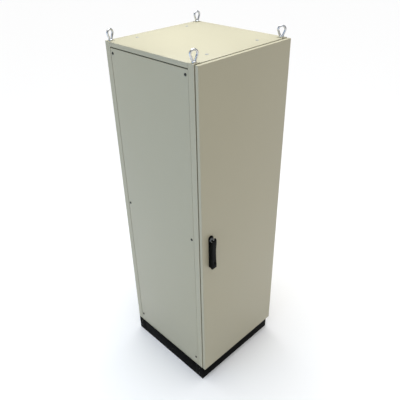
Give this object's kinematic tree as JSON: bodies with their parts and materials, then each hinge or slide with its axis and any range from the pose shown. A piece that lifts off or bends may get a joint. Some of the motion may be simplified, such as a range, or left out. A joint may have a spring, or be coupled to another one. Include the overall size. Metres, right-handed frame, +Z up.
{
  "type": "dc combiner cabinet",
  "caption": "Free-standing sheet-steel cabinet on a plinth that combines DC strings through fuse switches to one output, with a hinged front door, rod lock and lifting eyes.",
  "frame": {"origin": "on the floor under the middle of the whole cabinet, handle included", "axes": "+Z up, the door faces -Y, +X towards the door's hinges"},
  "size_m": [0.6045, 0.652, 1.9558],
  "materials": {
    "cabinet_paint": "fine textured powder coat, satin",
    "plinth_paint": "smooth powder coat, satin",
    "zinc_steel": "bright zinc plate",
    "galvanised_steel": "hot-dip galvanised sheet",
    "die_cast": "die-cast zinc, satin",
    "black_handle": "glass-filled nylon, fine grain",
    "seal_foam": "foamed polyurethane",
    "gland_plastic": "moulded polyamide",
    "grey_plastic": "moulded thermoset",
    "dark_plastic": "moulded thermoset",
    "red_plastic": "moulded, glossy",
    "copper": "rolled copper bar",
    "clear_guard": "clear polycarbonate sheet"
  },
  "bodies": {
    "cabinet": {"welded_frame": "cabinet_paint", "roof_panel": "cabinet_paint", "side_panel_left": "cabinet_paint", "side_panel_right": "cabinet_paint", "rear_panel": "cabinet_paint", "plinth_front": "plinth_paint", "plinth_rear": "plinth_paint", "plinth_left": "plinth_paint", "plinth_right": "plinth_paint", "lifting_eye_front_left": "zinc_steel", "lifting_eye_front_right": "zinc_steel", "lifting_eye_rear_left": "zinc_steel", "lifting_eye_rear_right": "zinc_steel", "hinge_arm_bottom": "zinc_steel", "hinge_arm_middle": "zinc_steel", "hinge_arm_top": "zinc_steel", "gland_plate": "galvanised_steel", "mounting_plate": "galvanised_steel", "mounting_rail": "galvanised_steel", "output_gland_positive": "gland_plastic", "output_gland_negative": "gland_plastic", "cable_entry_plate": "gland_plastic", "fuse_switch_base_1": "grey_plastic", "fuse_switch_base_2": "grey_plastic", "fuse_switch_base_3": "grey_plastic", "surge_base": "grey_plastic", "main_switch_body": "dark_plastic", "busbar_positive": "copper", "busbar_negative": "copper", "earth_bar": "copper", "busbar_guard": "clear_guard"},
    "door": {"door_panel": "cabinet_paint", "door_gasket": "seal_foam", "door_stiffener": "cabinet_paint", "document_pocket": "grey_plastic", "hinge_bracket_bottom": "zinc_steel", "hinge_pin_bottom": "zinc_steel", "hinge_bracket_middle": "zinc_steel", "hinge_pin_middle": "zinc_steel", "hinge_bracket_top": "zinc_steel", "hinge_pin_top": "zinc_steel", "handle_plate": "black_handle", "gear_housing": "die_cast", "rod_guide_upper": "zinc_steel", "rod_guide_lower": "zinc_steel"},
    "handle_hub": {"handle_shaft": "die_cast", "lock_pinion": "zinc_steel", "lever_pin": "zinc_steel"},
    "lever": {"swing_lever": "black_handle"},
    "key": {"lock_cylinder": "black_handle"},
    "upper_rod": {"upper_lock_rod": "zinc_steel"},
    "lower_rod": {"lower_lock_rod": "zinc_steel"},
    "main_knob": {"main_switch_knob": "red_plastic"},
    "fuse_lid_1": {"fuse_switch_lid_1": "dark_plastic"},
    "surge_plug_1": {"surge_cartridge_1": "red_plastic"},
    "fuse_lid_2": {"fuse_switch_lid_2": "dark_plastic"},
    "surge_plug_2": {"surge_cartridge_2": "red_plastic"},
    "fuse_lid_3": {"fuse_switch_lid_3": "dark_plastic"},
    "surge_plug_3": {"surge_cartridge_3": "red_plastic"}
  },
  "joints": [
    {"name": "door_swing", "type": "hinge", "parent": "cabinet", "child": "door", "pos_m": [0.292, -0.289, 1], "axis": [0, 0, 1], "range_deg": [0, 105]},
    {"name": "handle_turn", "type": "hinge", "parent": "door", "child": "handle_hub", "pos_m": [-0.242, -0.3165, 1.034], "axis": [0, -1, 0], "range_deg": [0, 90]},
    {"name": "lever_lift", "type": "hinge", "parent": "handle_hub", "child": "lever", "pos_m": [-0.242, -0.3165, 1.034], "axis": [-1, 0, 0], "range_deg": [0, 35]},
    {"name": "key_turn", "type": "hinge", "parent": "lever", "child": "key", "pos_m": [-0.242, -0.314, 0.903], "axis": [0, -1, 0], "range_deg": [0, 90]},
    {"name": "upper_rod_slide", "type": "slide", "parent": "door", "child": "upper_rod", "axis": [0, 0, 1], "range_m": [-0.018, 0]},
    {"name": "lower_rod_slide", "type": "slide", "parent": "door", "child": "lower_rod", "axis": [0, 0, 1], "range_m": [0, 0.018]},
    {"name": "main_switch_turn", "type": "hinge", "parent": "cabinet", "child": "main_knob", "pos_m": [0, 0.056, 1.44], "axis": [0, -1, 0], "range_deg": [0, 90]},
    {"name": "fuse_lid_1_open", "type": "hinge", "parent": "cabinet", "child": "fuse_lid_1", "pos_m": [-0.15, 0.1377, 0.9127], "axis": [1, 0, 0], "range_deg": [0, 60]},
    {"name": "fuse_lid_2_open", "type": "hinge", "parent": "cabinet", "child": "fuse_lid_2", "pos_m": [0, 0.1377, 0.9127], "axis": [1, 0, 0], "range_deg": [0, 60]},
    {"name": "fuse_lid_3_open", "type": "hinge", "parent": "cabinet", "child": "fuse_lid_3", "pos_m": [0.15, 0.1377, 0.9127], "axis": [1, 0, 0], "range_deg": [0, 60]},
    {"name": "surge_plug_1_pull", "type": "slide", "parent": "cabinet", "child": "surge_plug_1", "axis": [0, -1, 0], "range_m": [0, 0.05]},
    {"name": "surge_plug_2_pull", "type": "slide", "parent": "cabinet", "child": "surge_plug_2", "axis": [0, -1, 0], "range_m": [0, 0.05]},
    {"name": "surge_plug_3_pull", "type": "slide", "parent": "cabinet", "child": "surge_plug_3", "axis": [0, -1, 0], "range_m": [0, 0.05]}
  ],
  "couplings": [
    {"joint": "upper_rod_slide", "follows": "handle_turn", "m_per_rad": -0.01125},
    {"joint": "lower_rod_slide", "follows": "handle_turn", "m_per_rad": 0.01125}
  ]
}
